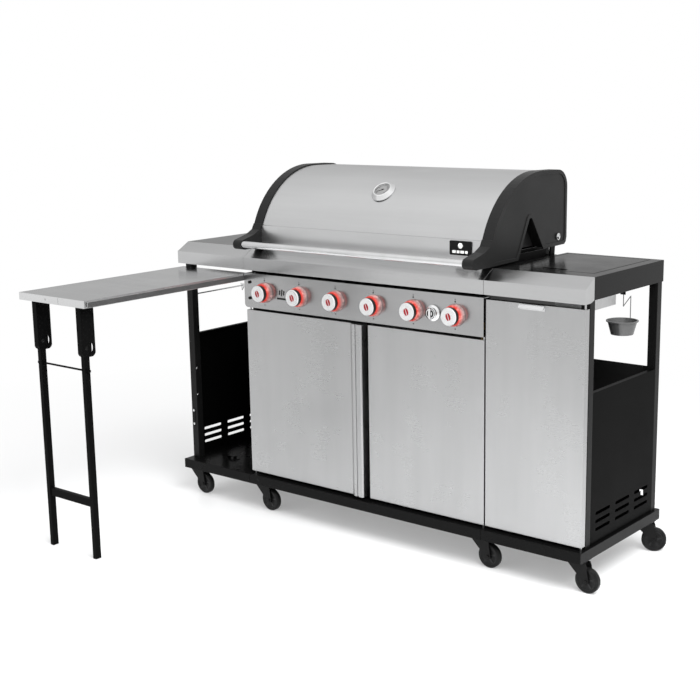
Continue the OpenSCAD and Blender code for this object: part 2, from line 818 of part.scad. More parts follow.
module leg_frame() {
    stud = [leg_y + stud_ring_r * cos(stud_angle), leg_axis_z + stud_ring_r * sin(stud_angle)];
    part("#161717") {
        for (bx = bracket_x) {
            x = bx + (bracket_w - leg_w) / 2;
            difference() {
                union() {
                    block([x, leg_y - leg_d / 2, 0], [x + leg_w, leg_y + leg_d / 2, leg_axis_z + 11]);
                    block([x, leg_y, stud[1] - 6], [x + leg_w, stud[0] + 4, stud[1] + 6]);
                }
                block([x + 1.5, leg_y - leg_d / 2 + 1.5, 3],
                      [x + leg_w - 1.5, leg_y + leg_d / 2 - 1.5, leg_axis_z - 22]);
                x_rod(x - cut, x + leg_w + cut, leg_y, leg_axis_z, leg_pin_r + run);
            }
            x_rod(bx - 1.5, bx + bracket_w + 1.5, stud[0], stud[1], stud_r);
        }
        block([bracket_x[0] + 16, leg_y - 7, crossbar_z], [bracket_x[1] + 4, leg_y + 7, crossbar_z + 25]);
        x_rod(bracket_x[0] - 6, bracket_x[1] + bracket_w + 6, leg_y, tie_z, 3);
        for (x = [bracket_x[0] - 7, bracket_x[1] + bracket_w + 2])
            translate([x, leg_y, tie_z]) rotate([0, 90, 0]) cylinder(h = 5, r = 6, $fn = 6);
    }
}

// ---- loose and turning pieces --------------------------------------------

module hanging_bowl() {
    z0 = bowl_rim_z - bowl_h;
    back = bowl[1] + bowl_r + 2.5;
    x = bowl[0];
    part("#6b6e70") {
        translate([x, bowl[1], z0]) rotate_extrude() polygon([
            [0, 0], [32, 0], [bowl_r - 4, bowl_h - 3], [bowl_r, bowl_h - 3], [bowl_r, bowl_h],
            [bowl_r - 5, bowl_h], [31, 1.6], [0, 1.6]]);
        y_rod(x, bowl[1] - 4, bowl[1] + 5, hook_z, hook_pin_r);
        wire(x, [bowl[1] + 4, hook_z], [bowl[1] + 4, 792], wire_r);
        wire(x, [bowl[1] + 4, 792], [back, 815], wire_r);
        wire(x, [back, 815], [back, bowl_rim_z - 1], wire_r);
        y_rod(x, bowl[1] + bowl_r - 1, back, bowl_rim_z - 1.6, wire_r);
    }
}

module burner_cover() {
    x0 = well[0] + cover_gap;
    x1 = well[2] - cover_gap;
    z0 = shelf_z - cover_t;
    slot_x = (x0 + x1) / 2;
    part("#242526") {
        difference() {
            block([x0, well[1] + cover_gap, z0], [x1, well[3] - cover_gap, shelf_z]);
            block([x0 + 3, well[1] + cover_gap + 3, z0 - cut],
                  [x1 - 3, well[3] - cover_gap - 12, shelf_z - sheet]);
            translate([slot_x - 40, well[1] + cover_gap + 14, z0 - cut]) cube([80, 16, cover_t + 2]);
        }
        x_rod(well[0] - 1.6, x0 + 1, cover_pin[0], cover_pin[1], cover_pin_r);
        x_rod(x1 - 1, well[2] + 1.6, cover_pin[0], cover_pin[1], cover_pin_r);
    }
}

module burner_knob(i) {
    h0 = -knob_back_y;
    h1 = h0 + knob_h;
    bore = 0.5 - stem_y[0];
    part("#d2d5d5") translate([burner_x[i], 0, knob_z]) rotate([90, 0, 0]) rotate_extrude()
        polygon([[stem_r + run, h0], [knob_r - 1, h0], [knob_r, h0 + 1], [knob_r, h1 - 2.5],
                 [knob_r - 1.5, h1], [0, h1], [0, bore], [stem_r + run, bore]]);
}

module knob_side() {
    h0 = -side_knob_y;
    bore = 0.5 - stem_y[1];
    part("#dfe1e2") translate([side_knob_x, 0, knob_z]) rotate([90, 0, 0]) rotate_extrude()
        polygon([[stem_r + run, h0], [24, h0], [24, h0 + 5], [18, h0 + 9], [18, h0 + 16],
                 [15, h0 + 18], [0, h0 + 18.5], [0, bore], [stem_r + run, bore]]);
}

module push_button(z) {
    part("#101111") {
        y_rod(button_x, panel_y - 4, panel_y + 12, z, button_r);
        y_rod(button_x, panel_y + 7, panel_y + 12, z, button_r + 2);
    }
}

module caster_plates() {
    part("#2c2e2f") for (c = casters) difference() {
        block([c[0] - 27, c[1] - 27, base_z - plate_t], [c[0] + 27, c[1] + 27, base_z]);
        z_rod(c[0], c[1], base_z - plate_t - cut, base_z + cut, pin_r + run);
    }
}

// Swivel fork in its own frame, with the swivel axis on Z and the trail along +X
module caster_fork(i) {
    top = base_z - plate_t - 0.4;
    side = concat(
        [[-24, top - 9], [-24, top - 2], [30, top - 2], [34, top - 12]],
        [for (a = [20:-20:-140]) [trail + 10 * cos(a), wheel_r + 10 * sin(a)]],
        [[trail - 14, wheel_r + 4]]);
    part("#191a1a") translate([casters[i][0], casters[i][1], 0]) rotate(caster_turn[i]) {
        z_rod(0, 0, top - 5, top, 20);
        z_rod(0, 0, top - 1, base_z + 8, pin_r);
        for (y = [-wheel_w / 2 - 4.5, wheel_w / 2 + 1.5]) y_prism(y, y + 3, side);
        block([-24, -wheel_w / 2 - 4.5, top - 7], [24, wheel_w / 2 + 4.5, top - 4]);
        y_rod(trail, -wheel_w / 2 - 5.5, wheel_w / 2 + 5.5, wheel_r, axle_r);
    }
}

module caster_wheel(i) {
    w = wheel_w / 2;
    part("#0f0f10") translate([casters[i][0], casters[i][1], 0]) rotate(caster_turn[i])
        translate([trail, 0, wheel_r]) rotate([90, 0, 0]) rotate_extrude($fn = 64)
            polygon([[axle_r + run, -w], [9, -w], [9, -w + 3], [27, -w + 3], [28, -w + 1],
                     [wheel_r - 4, -w + 1], [wheel_r, -w + 5], [wheel_r, w - 5],
                     [wheel_r - 4, w - 1], [28, w - 1], [27, w - 3], [9, w - 3], [9, w],
                     [axle_r + run, w]]);
}

base_frames();
bottle_pan();
frame_members();
side_panels();
inner_panels();
shelf_left();
shelf_right();
front_fascias();
firebox();
tube_burners();
flame_tamers();
cooking_grates();
warming_rack();
gas_manifold();
control_panel();
knob_bezels();
side_burner();
power_box();
caster_plates();
towel_rail();
lid_shell();
lid_caps();
lid_handle();
thermometer();
door_left();
door_left_pull();
door_right();
door_side();
side_door_tab();
table_top();
leg_brackets();
leg_frame();
hanging_bowl();
burner_cover();
grease_tray();
burner_knob(0);  // knob_1
burner_knob(1);  // knob_2
burner_knob(2);  // knob_3
burner_knob(3);  // knob_4
burner_knob(4);  // knob_5
burner_knob(5);  // knob_6
knob_side();
push_button(button_z[0]);  // light_button
push_button(button_z[1]);  // ignition_button
caster_fork(0);  // caster_fork_1
caster_fork(1);  // caster_fork_2
caster_fork(2);  // caster_fork_3
caster_fork(3);  // caster_fork_4
caster_fork(4);  // caster_fork_5
caster_fork(5);  // caster_fork_6
caster_fork(6);  // caster_fork_7
caster_fork(7);  // caster_fork_8
caster_wheel(0);  // caster_wheel_1
caster_wheel(1);  // caster_wheel_2
caster_wheel(2);  // caster_wheel_3
caster_wheel(3);  // caster_wheel_4
caster_wheel(4);  // caster_wheel_5
caster_wheel(5);  // caster_wheel_6
caster_wheel(6);  // caster_wheel_7
caster_wheel(7);  // caster_wheel_8
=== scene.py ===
"""Looks for the gas barbecue grill: materials, small fittings, floor, light and camera."""
import bpy
import bmesh
import math
from mathutils import Matrix, Vector
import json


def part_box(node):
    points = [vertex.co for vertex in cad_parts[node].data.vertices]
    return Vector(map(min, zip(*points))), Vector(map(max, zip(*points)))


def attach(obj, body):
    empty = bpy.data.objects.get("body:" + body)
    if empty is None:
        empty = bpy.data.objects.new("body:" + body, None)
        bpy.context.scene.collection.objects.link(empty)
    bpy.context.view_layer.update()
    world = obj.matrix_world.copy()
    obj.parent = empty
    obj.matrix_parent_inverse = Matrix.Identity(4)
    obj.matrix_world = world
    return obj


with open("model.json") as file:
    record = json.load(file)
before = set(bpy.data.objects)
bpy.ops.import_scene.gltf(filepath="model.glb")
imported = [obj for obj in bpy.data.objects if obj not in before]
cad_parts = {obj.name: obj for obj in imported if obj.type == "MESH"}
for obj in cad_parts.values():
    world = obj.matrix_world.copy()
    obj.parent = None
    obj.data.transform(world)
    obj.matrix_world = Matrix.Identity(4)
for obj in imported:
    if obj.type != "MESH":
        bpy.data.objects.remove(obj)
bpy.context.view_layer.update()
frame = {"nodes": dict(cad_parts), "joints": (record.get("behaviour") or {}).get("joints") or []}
NODES = frame["nodes"]
JOINTS = {j["name"]: j for j in frame["joints"]}
MM = 0.001
RIGHT, BACK, UP = Vector((1, 0, 0)), Vector((0, 1, 0)), Vector((0, 0, 1))
LIT_KNOBS = range(1, 7)
CASTERS = range(1, 9)

# ---- camera --------------------------------------------------------------

CAM_YAW, CAM_PITCH, CAM_ROLL = (math.radians(a) for a in (39.6, -11.6, -1.0))
CAM_AT = Vector((2.428, -2.903, 1.409))
CAM_LENS = 65.2


def add_camera():
    """Puts the camera where the picture was taken from, looking left and a little down."""
    side = Vector((math.cos(CAM_YAW), math.sin(CAM_YAW), 0))
    ahead = Vector((-math.sin(CAM_YAW), math.cos(CAM_YAW), 0)) * math.cos(CAM_PITCH)
    ahead += UP * math.sin(CAM_PITCH)
    over = side.cross(ahead)
    right = side * math.cos(CAM_ROLL) + over * math.sin(CAM_ROLL)
    up = right.cross(ahead)
    turn = Matrix((right, up, -ahead)).transposed()
    data = bpy.data.cameras.new("camera")
    data.lens = CAM_LENS
    data.clip_end = 200
    camera = bpy.data.objects.new("camera", data)
    camera.matrix_world = Matrix.Translation(CAM_AT) @ turn.to_4x4()
    bpy.context.scene.collection.objects.link(camera)
    bpy.context.scene.camera = camera


# ---- shader helper -------------------------------------------------------

class Look:
    """A Principled material, with short ways to add texture nodes in object space."""

    def __init__(self, name, **sockets):
        self.material = bpy.data.materials.new(name)
        self.material.use_nodes = True
        self.tree = self.material.node_tree
        self.shader = self.tree.nodes["Principled BSDF"]
        coordinates = self.tree.nodes.new("ShaderNodeTexCoord")
        self.place = coordinates.outputs["Object"]
        for socket, value in sockets.items():
            self.shader.inputs[socket.replace("_", " ")].default_value = value

    def node(self, kind, inputs=(), output=0, **settings):
        """Adds a shader node and returns one of its outputs."""
        made = self.tree.nodes.new("ShaderNode" + kind)
        for key, value in settings.items():
            setattr(made, key, value)
        for key, value in dict(inputs).items():
            if isinstance(value, bpy.types.NodeSocket):
                self.tree.links.new(value, made.inputs[key])
            else:
                made.inputs[key].default_value = value
        return made.outputs[output]

    def stretched(self, scale):
        """Object space scaled by (x, y, z), so that a texture runs along the small one."""
        return self.node("Mapping", {"Vector": self.place, "Scale": scale})

    def noise(self, vector, scale, detail=4.0, rough=0.55):
        return self.node("TexNoise", {"Vector": vector, "Scale": scale, "Detail": detail,
                                      "Roughness": rough})

    def ramp(self, value, low, high, out_low=0.0, out_high=1.0):
        """Takes low..high to out_low..out_high, clamped."""
        return self.node("MapRange", {"Value": value, "From Min": low, "From Max": high,
                                      "To Min": out_low, "To Max": out_high})

    def mix(self, factor, first, second):
        """Blends two colours; each is an (r, g, b) or a socket."""
        made = self.tree.nodes.new("ShaderNodeMix")
        made.data_type = "RGBA"
        colour_inputs = [s for s in made.inputs if s.type == "RGBA"]
        self.feed(made.inputs["Factor"], factor)
        for socket, value in zip(colour_inputs, (first, second)):
            self.feed(socket, value)
        return [s for s in made.outputs if s.type == "RGBA"][0]

    def feed(self, socket, value):
        """Links a socket, or sets a constant on the input itself."""
        if isinstance(value, bpy.types.NodeSocket):
            self.tree.links.new(value, socket)
        elif isinstance(value, tuple) and len(value) == 3:
            socket.default_value = value + (1.0,)
        else:
            socket.default_value = value

    def set(self, **sockets):
        for socket, value in sockets.items():
            self.feed(self.shader.inputs[socket.replace("_", " ")], value)

    def bump(self, height, strength, distance=0.001):
        normal = self.node("Bump", {"Height": height, "Strength": strength, "Distance": distance})
        self.tree.links.new(normal, self.shader.inputs["Normal"])


def grey(value):
    """Neutral colour with a trace of blue, like bare steel."""
    return (value, value * 1.005, value * 1.01)


# ---- materials -----------------------------------------------------------

def brushed_steel(name, tone, grain=(3, 420, 420), roughness=0.34, streaks=(1.2, 18, 18)):
    """Stainless sheet with long fine scratches, soft streaks and a few handling marks."""
    look = Look(name, Metallic=1.0)
    scratches = look.noise(look.stretched(grain), 2.0, 6.0, 0.7)
    soft = look.noise(look.stretched(streaks), 1.0, 3.0)
    clouds = look.noise(look.place, 2.2, 2.0)
    smudges = look.noise(look.place, 8.0, 5.0, 0.62)
    fine = look.mix(look.ramp(soft, 0.3, 0.7), grey(tone * 0.96), grey(tone * 1.04))
    look.set(Base_Color=look.mix(look.ramp(clouds, 0.35, 0.7, 0.0, 0.4), fine, grey(tone * 1.06)))
    worn = look.ramp(smudges, 0.42, 0.66, roughness - 0.025, roughness + 0.025)
    grainy = look.ramp(scratches, 0.25, 0.75, -0.008, 0.008)
    look.set(Roughness=look.node("Math", {0: worn, 1: grainy}, operation="ADD"))
    look.bump(clouds, 0.04, 0.004)
    look.set(Anisotropic=0.55)
    return look.material


def polished_steel(name, tone, roughness=0.12):
    """Bright steel with faint polishing lines and slight waves."""
    look = Look(name, Metallic=1.0)
    lines = look.noise(look.stretched((6, 300, 300)), 1.0, 4.0)
    waves = look.noise(look.place, 14.0, 2.0)
    look.set(Base_Color=look.mix(look.ramp(waves, 0.35, 0.7), grey(tone * 0.92), grey(tone)))
    look.set(Roughness=look.ramp(lines, 0.3, 0.7, roughness * 0.7, roughness * 1.5))
    look.bump(waves, 0.05, 0.001)
    return look.material


def powder_coat(name, tone, roughness, gloss, grain=1500.0):
    """Satin powder coat: orange-peel bump, tiny sparkle in tone, dust in the broad scale."""
    look = Look(name, Specular_IOR_Level=gloss)
    peel = look.noise(look.place, grain, 3.0)
    ripple = look.noise(look.place, 240.0, 2.0)
    dust = look.noise(look.place, 5.0, 5.0, 0.6)
    speckle = look.mix(look.ramp(peel, 0.35, 0.7), grey(tone * 0.8), grey(tone * 1.25))
    look.set(Base_Color=look.mix(look.ramp(dust, 0.5, 0.75, 0.0, 0.3), speckle, grey(tone * 1.7)))
    look.set(Roughness=look.ramp(dust, 0.3, 0.7, roughness - 0.05, roughness + 0.07))
    height = look.node("Math", {0: peel, 1: ripple}, operation="ADD")
    look.bump(height, 0.1, 0.0004)
    return look.material


def cast_metal(name, tone, roughness, gloss, grain):
    """Painted casting: pebbled surface with slow changes in gloss."""
    look = Look(name, Specular_IOR_Level=gloss)
    pebbles = look.node("TexVoronoi", {"Vector": look.place, "Scale": grain})
    sand = look.noise(look.place, grain * 1.7, 4.0)
    slow = look.noise(look.place, 7.0, 3.0)
    look.set(Base_Color=look.mix(look.ramp(sand, 0.3, 0.7), grey(tone * 0.78), grey(tone * 1.2)))
    look.set(Roughness=look.ramp(slow, 0.3, 0.7, roughness - 0.06, roughness + 0.06))
    height = look.node("Math", {0: pebbles, 1: sand}, operation="ADD")
    look.bump(height, 0.3, 0.0005)
    return look.material


def moulded_plastic(name, colour, roughness, gloss):
    """Plastic with a fine spark-eroded texture and small changes in gloss."""
    look = Look(name, Specular_IOR_Level=gloss)
    fine = look.noise(look.place, 1800.0, 2.0)
    slow = look.noise(look.place, 40.0, 3.0)
    darker = tuple(c * 0.82 for c in colour)
    look.set(Base_Color=look.mix(look.ramp(slow, 0.35, 0.65), darker, colour))
    look.set(Roughness=look.ramp(fine, 0.3, 0.7, roughness - 0.06, roughness + 0.08))
    look.bump(fine, 0.15, 0.0002)
    return look.material


def ring_light(name):
    """Lit translucent ring: pinkish at its foot, red towards the knob, unevenly bright."""
    look = Look(name, Specular_IOR_Level=0.4, Roughness=0.25)
    low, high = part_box("knob_bezels")
    y = look.node("SeparateXYZ", {"Vector": look.place}, output=1)
    out = look.ramp(y, high.y, low.y)
    uneven = look.noise(look.place, 70.0, 2.0)
    foot = look.mix(look.ramp(uneven, 0.4, 0.6), (0.2, 0.13, 0.125), (0.34, 0.24, 0.235))
    tint = look.mix(look.ramp(out, 0.3, 0.95), foot, (0.36, 0.03, 0.022))
    patchy = look.mix(look.ramp(uneven, 0.52, 0.74, 0.0, 0.6), tint, (0.6, 0.25, 0.22))
    look.set(Base_Color=patchy, Emission_Color=patchy)
    look.set(Emission_Strength=look.ramp(out, 0.3, 1.0, 0.0, 0.7))
    return look.material


def rubber(name):
    """Dark tyre rubber with a matt, slightly dusty surface."""
    look = Look(name, Specular_IOR_Level=0.15)
    dust = look.noise(look.place, 60.0, 5.0, 0.6)
    fine = look.noise(look.place, 900.0, 2.0)
    look.set(Base_Color=look.mix(look.ramp(dust, 0.4, 0.75), grey(0.005), grey(0.016)))
    look.set(Roughness=look.ramp(dust, 0.3, 0.7, 0.3, 0.5))
    look.bump(fine, 0.25, 0.0003)
    return look.material


def galvanised(name, tone):
    """Zinc-coated sheet with flat crystal patches."""
    look = Look(name, Metallic=1.0)
    crystals = look.node("TexVoronoi", {"Vector": look.place, "Scale": 70.0}, output=1)
    patch = look.node("SeparateColor", {"Color": crystals})
    look.set(Base_Color=look.mix(look.ramp(patch, 0.0, 1.0), grey(tone * 0.85), grey(tone)))
    look.set(Roughness=look.ramp(patch, 0.0, 1.0, 0.38, 0.56))
    return look.material


def brass(name):
    """Brass with brown stains."""
    look = Look(name, Metallic=1.0)
    stain = look.noise(look.place, 45.0, 4.0)
    look.set(Base_Color=look.mix(look.ramp(stain, 0.3, 0.7), (0.5, 0.33, 0.12), (0.78, 0.57, 0.26)))
    look.set(Roughness=look.ramp(stain, 0.3, 0.7, 0.22, 0.42))
    return look.material


def knob_finish(name, split_y):
    """Silver front and black skirt: the two meet at split_y, square to the turning axis."""
    look = Look(name, Specular_IOR_Level=0.2)
    y = look.node("SeparateXYZ", {"Vector": look.place}, output=1)
    skirt = look.ramp(y, split_y - 0.0003, split_y + 0.0003)
    turning = look.noise(look.stretched((700, 40, 700)), 1.0, 3.0)
    silver = look.mix(look.ramp(turning, 0.3, 0.7), grey(0.55), grey(0.72))
    black = look.mix(look.ramp(turning, 0.3, 0.7), grey(0.008), grey(0.016))
    look.set(Base_Color=look.mix(skirt, silver, black))
    look.set(Metallic=look.ramp(skirt, 0.0, 1.0, 0.55, 0.0))
    look.set(Roughness=look.ramp(turning, 0.3, 0.7, 0.26, 0.4))
    look.bump(turning, 0.06, 0.0002)
    return look.material


LOOKS = {
    # One brushed steel in lit and shaded copies: the tones of doors, panel, fascia, lid, shelf and
    # table differ as painted light and shade, each set to how bright that part looks under these
    # lights.
    "doors": brushed_steel("brushed_steel_doors", 0.45, roughness=0.3, streaks=(14, 14, 1.5)),
    "panel": brushed_steel("brushed_steel_panel", 0.4, roughness=0.24),
    "fascia": brushed_steel("brushed_steel_fascia", 0.51, roughness=0.24),
    "lid": brushed_steel("brushed_steel_lid", 0.6, roughness=0.33),
    "shelf": brushed_steel("brushed_steel_shelf", 0.26, grain=(420, 3, 420)),
    "table": brushed_steel("brushed_steel_table", 0.66, grain=(420, 3, 420), roughness=0.24),
    "rack": polished_steel("polished_rack", 0.6, 0.2),
    "polished": polished_steel("polished_steel", 0.75),
    "chrome": polished_steel("chrome_knob", 0.88, 0.06),
    "frame": powder_coat("powder_coat_frame", 0.005, 0.42, 0.15),
    "panels": powder_coat("powder_coat_panels", 0.0015, 0.34, 0.02),
    # Inner panels: the black coat in a lighter tone, painted light, so the inside seen through the
    # vent slots looks lit.
    "inside": powder_coat("powder_coat_inside", 0.012, 0.3, 0.25),
    "base": powder_coat("powder_coat_base", 0.003, 0.24, 0.09),
    "side_shelf": powder_coat("powder_coat_shelf", 0.003, 0.18, 0.1),
    "legs": powder_coat("powder_coat_legs", 0.003, 0.4, 0.03),
    "caps": cast_metal("charcoal_casting", 0.008, 0.4, 0.2, 420.0),
    "iron": cast_metal("cast_iron", 0.016, 0.62, 0.4, 260.0),
    "enamel": powder_coat("enamel", 0.002, 0.3, 0.06, 900.0),
    "bowl": powder_coat("grey_bowl", 0.055, 0.2, 0.9),
    "zinc": galvanised("galvanised", 0.66),
    "brass": brass("brass"),
    "black_plastic": moulded_plastic("black_plastic", (0.004, 0.004, 0.004), 0.38, 0.15),
    "rubber": rubber("tyre_rubber"),
    "fork": powder_coat("caster_fork", 0.004, 0.34, 0.15),
    "hub": moulded_plastic("wheel_hub", (0.014, 0.014, 0.0145), 0.24, 0.3),
    "red": moulded_plastic("red_mark", (0.26, 0.006, 0.012), 0.4, 0.3),
    "white": moulded_plastic("white_print", (0.8, 0.8, 0.79), 0.4, 0.4),
    "dial": moulded_plastic("dial_face", (0.19, 0.19, 0.19), 0.3, 0.4),
    "edge": moulded_plastic("dark_edge", (0.05, 0.05, 0.05), 0.3, 0.6),
    "ring": ring_light("ring_light"),
}

NODE_LOOKS = {
    "base": ["base_frames", "bottle_pan"],
    "frame": ["frame_members"],
    "panels": ["side_panels"],
    "inside": ["inner_panels"],
    "side_shelf": ["shelf_right", "burner_cover"],
    "shelf": ["shelf_left"],
    "fascia": ["front_fascias"],
    "panel": ["control_panel"],
    "doors": ["door_left", "door_right", "door_side", "door_left_pull", "flame_tamers"],
    "lid": ["lid_shell"],
    "caps": ["lid_caps"],
    "polished": ["lid_handle", "towel_rail", "side_door_tab"],
    "rack": ["warming_rack"],
    "table": ["table_top"],
    "legs": ["leg_brackets", "leg_frame"],
    "bowl": ["hanging_bowl"],
    "enamel": ["firebox"],
    "iron": ["cooking_grates", "side_burner"],
    "zinc": ["power_box", "grease_tray", "tube_burners"],
    "brass": ["gas_manifold"],
    "ring": ["knob_bezels"],
    "chrome": ["knob_side", "thermometer"],
    "black_plastic": ["light_button", "ignition_button"],
    "fork": ["caster_plates"] + [f"caster_fork_{i}" for i in CASTERS],
    "rubber": [f"caster_wheel_{i}" for i in CASTERS],
}

KNOB_FACE = 2.8 * MM
EDGE_WIDTHS = {"lid_caps": 1.6 * MM, "front_fascias": 0.5 * MM, "table_top": 1.0 * MM,
               "base_frames": 2.8 * MM, "door_left_pull": 0.8 * MM,
               "shelf_right": 0.5 * MM, "frame_members": 1.0 * MM}
EDGE_ANGLE = math.radians(35)


def dress_nodes():
    """Gives every CAD node its material, and a small edge round where light catches it."""
    for look, names in NODE_LOOKS.items():
        for name in names:
            dress(name, LOOKS[look])
    for i in LIT_KNOBS:
        skirt_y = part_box(f"knob_{i}")[0].y + KNOB_FACE
        dress(f"knob_{i}", knob_finish(f"knob_finish_{i}", skirt_y))
    for name, width in EDGE_WIDTHS.items():
        soften(name, width)


def dress(name, material):
    """Makes a material the only one on a CAD node."""
    slots = NODES[name].data.materials
    slots.clear()
    slots.append(material)


def soften(name, width):
    """Adds a small bevel to a CAD node's sharp edges."""
    weld = NODES[name].modifiers.new("weld", "WELD")
    weld.merge_threshold = 0.00002
    bevel = NODES[name].modifiers.new("edge", "BEVEL")
    bevel.width = width
    bevel.segments = 2
    bevel.limit_method = "ANGLE"
    bevel.angle_limit = EDGE_ANGLE


# ---- mesh helpers --------------------------------------------------------

SHARP_ANGLE = math.radians(32)


def piece(mesh, name, look, body):
    """Turns a bmesh into a piece that rides on a body."""
    data = bpy.data.meshes.new(name)
    bmesh.ops.recalc_face_normals(mesh, faces=mesh.faces)
    mesh.to_mesh(data)
    mesh.free()
    for polygon in data.polygons:
        polygon.use_smooth = True
    data.set_sharp_from_angle(angle=SHARP_ANGLE)
    data.materials.append(LOOKS[look])
    made = bpy.data.objects.new(name, data)
    bpy.context.scene.collection.objects.link(made)
    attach(made, body)


def facing(at, axis, turn=0.0):
    """Matrix that takes local +Z to axis, at a place."""
    spin = axis.to_track_quat("Z", "Y").to_matrix().to_4x4()
    return Matrix.Translation(at) @ spin @ Matrix.Rotation(turn, 4, "Z")


def scaled(profile, size=1.0):
    """Profile written in millimetres, at a size."""
    return [(radius * MM * size, height * MM * size) for radius, height in profile]


def add_lathe(mesh, profile, place, segments=32):
    """Adds a turned solid; profile is (radius, height) pairs, from the axis out and back."""
    rings = []
    for radius, height in profile:
        if radius < 1e-7:
            rings.append([mesh.verts.new(place @ Vector((0, 0, height)))])
            continue
        ring = []
        for k in range(segments):
            a = 2 * math.pi * k / segments
            ring.append(mesh.verts.new(place @ Vector((radius * math.cos(a),
                                                       radius * math.sin(a), height))))
        rings.append(ring)
    for first, second in zip(rings, rings[1:]):
        for k in range(segments):
            n = (k + 1) % segments
            corners = [first[k % len(first)], first[n % len(first)],
                       second[n % len(second)], second[k % len(second)]]
            unique = list(dict.fromkeys(corners))
            if len(unique) > 2:
                mesh.faces.new(unique)


def add_plate(mesh, outline, thickness, place, chamfer=0.0):
    """Adds a flat plate: an outline of (x, y) points, with a chamfer round its front face."""
    centre = Vector((sum(p[0] for p in outline), sum(p[1] for p in outline))) / len(outline)
    layers = [(0.0, 0.0), (thickness - chamfer, 0.0), (thickness, chamfer)]
    if chamfer == 0.0:
        layers = [(0.0, 0.0), (thickness, 0.0)]
    rings = []
    for height, inset in layers:
        ring = []
        for x, y in outline:
            away = Vector((x, y)) - centre
            flat = centre + away * (1 - inset / max(away.length, 1e-6))
            ring.append(mesh.verts.new(place @ Vector((flat.x, flat.y, height))))
        rings.append(ring)
    count = len(outline)
    for first, second in zip(rings, rings[1:]):
        for k in range(count):
            n = (k + 1) % count
            mesh.faces.new([first[k], first[n], second[n], second[k]])
    mesh.faces.new(list(reversed(rings[0])))
    mesh.faces.new(rings[-1])


def rounded(width, height, radius, steps=5):
    """Outline of a rectangle with round corners, centred on the origin."""
    points = []
    for k, (sx, sy) in enumerate(((1, 1), (-1, 1), (-1, -1), (1, -1))):
        cx, cy = sx * (width / 2 - radius), sy * (height / 2 - radius)
        for s in range(steps + 1):
            a = math.pi / 2 * (k + s / steps)
            points.append((cx + radius * math.cos(a), cy + radius * math.sin(a)))
    return points


DOME = [(0, 2.4), (1.6, 2.3), (3.1, 1.7), (4.0, 0.7), (4.1, 0.0), (0, 0)]
WASHER = [(0, 0.5), (5.0, 0.5), (5.4, 0.25), (5.4, 0.0), (0, 0)]


def add_screw(mesh, at, axis, size=1.0):
    """Adds a domed screw head with a flange."""
    add_lathe(mesh, scaled(DOME, size), facing(at, axis), 20)
    add_lathe(mesh, scaled(WASHER, size), facing(at, axis), 24)


# ---- fittings ------------------------------------------------------------

KNOB_RING = [(21.0, 0), (21.2, 0.4), (22.0, 0.4), (22.2, 0), (21.0, 0)]
KNOB_TURN = 0.35
# inner and outer radius, in millimetres, of the two black rings laid on the side knob as painted
# reflection and painted shade
SIDE_KNOB_PAINTED_RINGS = [(7.5, 12.0), (15.0, 17.0)]


def knob_centre(name):
    """Middle of a knob's front face."""
    low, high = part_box(name)
    return Vector(((low.x + high.x) / 2, low.y, (low.z + high.z) / 2))


def add_knob_marks():
    """A red disc in two halves, and a fine ring, on each lit knob's face."""
    for i in LIT_KNOBS:
        centre = knob_centre(f"knob_{i}")
        front = facing(centre + BACK * 0.0001, -BACK)
        body = f"burner_knob_{i}"
        disc = bmesh.new()
        for half in (1, -1):
            outline = [(half * 1.3 * MM, -11.0 * MM)]
            for k in range(9):
                a = math.radians(-80 + 20 * k)
                outline.append((half * (1.3 * MM + 7.2 * MM * math.cos(a)), 11.4 * MM * math.sin(a)))
            outline.append((half * 1.3 * MM, 11.0 * MM))
            if half < 0:
                outline.reverse()
            turned = front @ Matrix.Rotation(KNOB_TURN, 4, "Z")
            add_plate(disc, outline, 0.6 * MM, turned, 0.2 * MM)
        piece(disc, f"knob_mark_{i}", "red", body)
        ring = bmesh.new()
        add_lathe(ring, scaled(KNOB_RING), front, 64)
        piece(ring, f"knob_ring_{i}", "chrome", body)


def add_side_knob():
    """Grip bar on the chrome knob, and two black rings on its face: painted reflection and painted
    shade.
    """
    centre = knob_centre("knob_side")
    grip = bmesh.new()
    front = facing(centre + BACK * 0.004, -BACK)
    add_plate(grip, rounded(8 * MM, 32 * MM, 3.5 * MM), 8 * MM, front, 1.2 * MM)
    piece(grip, "side_knob_grip", "chrome", "side_knob")
    # Two black rings on the knob's face: painted dark reflection and painted shade, not cut grooves.
    shade = bmesh.new()
    outer = facing(centre + BACK * 0.0002, -BACK)
    for inner, rim in SIDE_KNOB_PAINTED_RINGS:
        band = [(inner, 0), (inner, 0.4), (rim, 0.4), (rim, 0), (inner, 0)]
        add_lathe(shade, scaled(band), outer, 48)
    piece(shade, "side_knob_painted_dark_rings", "black_plastic", "side_knob")


PRINT_THICK = 0.25 * MM
# height over the knob's centre, width, height and corner radius, in millimetres
KNOB_PRINTS = [(40.0, 5, 5, 2.4), (46.5, 2.4, 4, 1), (-41.0, 4, 4, 1.9)]


def add_panel_prints():
    """Position marks round each knob, and a plain sign of bars between the first two."""
    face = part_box("control_panel")[0].y + 0.1 * MM
    prints = bmesh.new()

    def add_print(x, z, width, height, radius, turn=0.0):
        add_plate(prints, rounded(width * MM, height * MM, radius * MM), PRINT_THICK,
                  facing(Vector((x, face, z)), -BACK, turn))

    for i in LIT_KNOBS:
        centre = knob_centre(f"knob_{i}")
        for lift, width, height, radius in KNOB_PRINTS:
            add_print(centre.x, centre.z + lift * MM, width, height, radius)
    first, second = knob_centre("knob_1"), knob_centre("knob_2")
    between = (first.x + second.x) / 2
    for k, height in ((-1, 16), (0, 22), (1, 16)):
        add_print(between + k * 9 * MM, first.z + 6 * MM, 5.5, height, 2.5, math.radians(-8))
    add_print(between, first.z - 14 * MM, 44, 6, 2.8)
    piece(prints, "panel_prints", "black_plastic", "chassis")


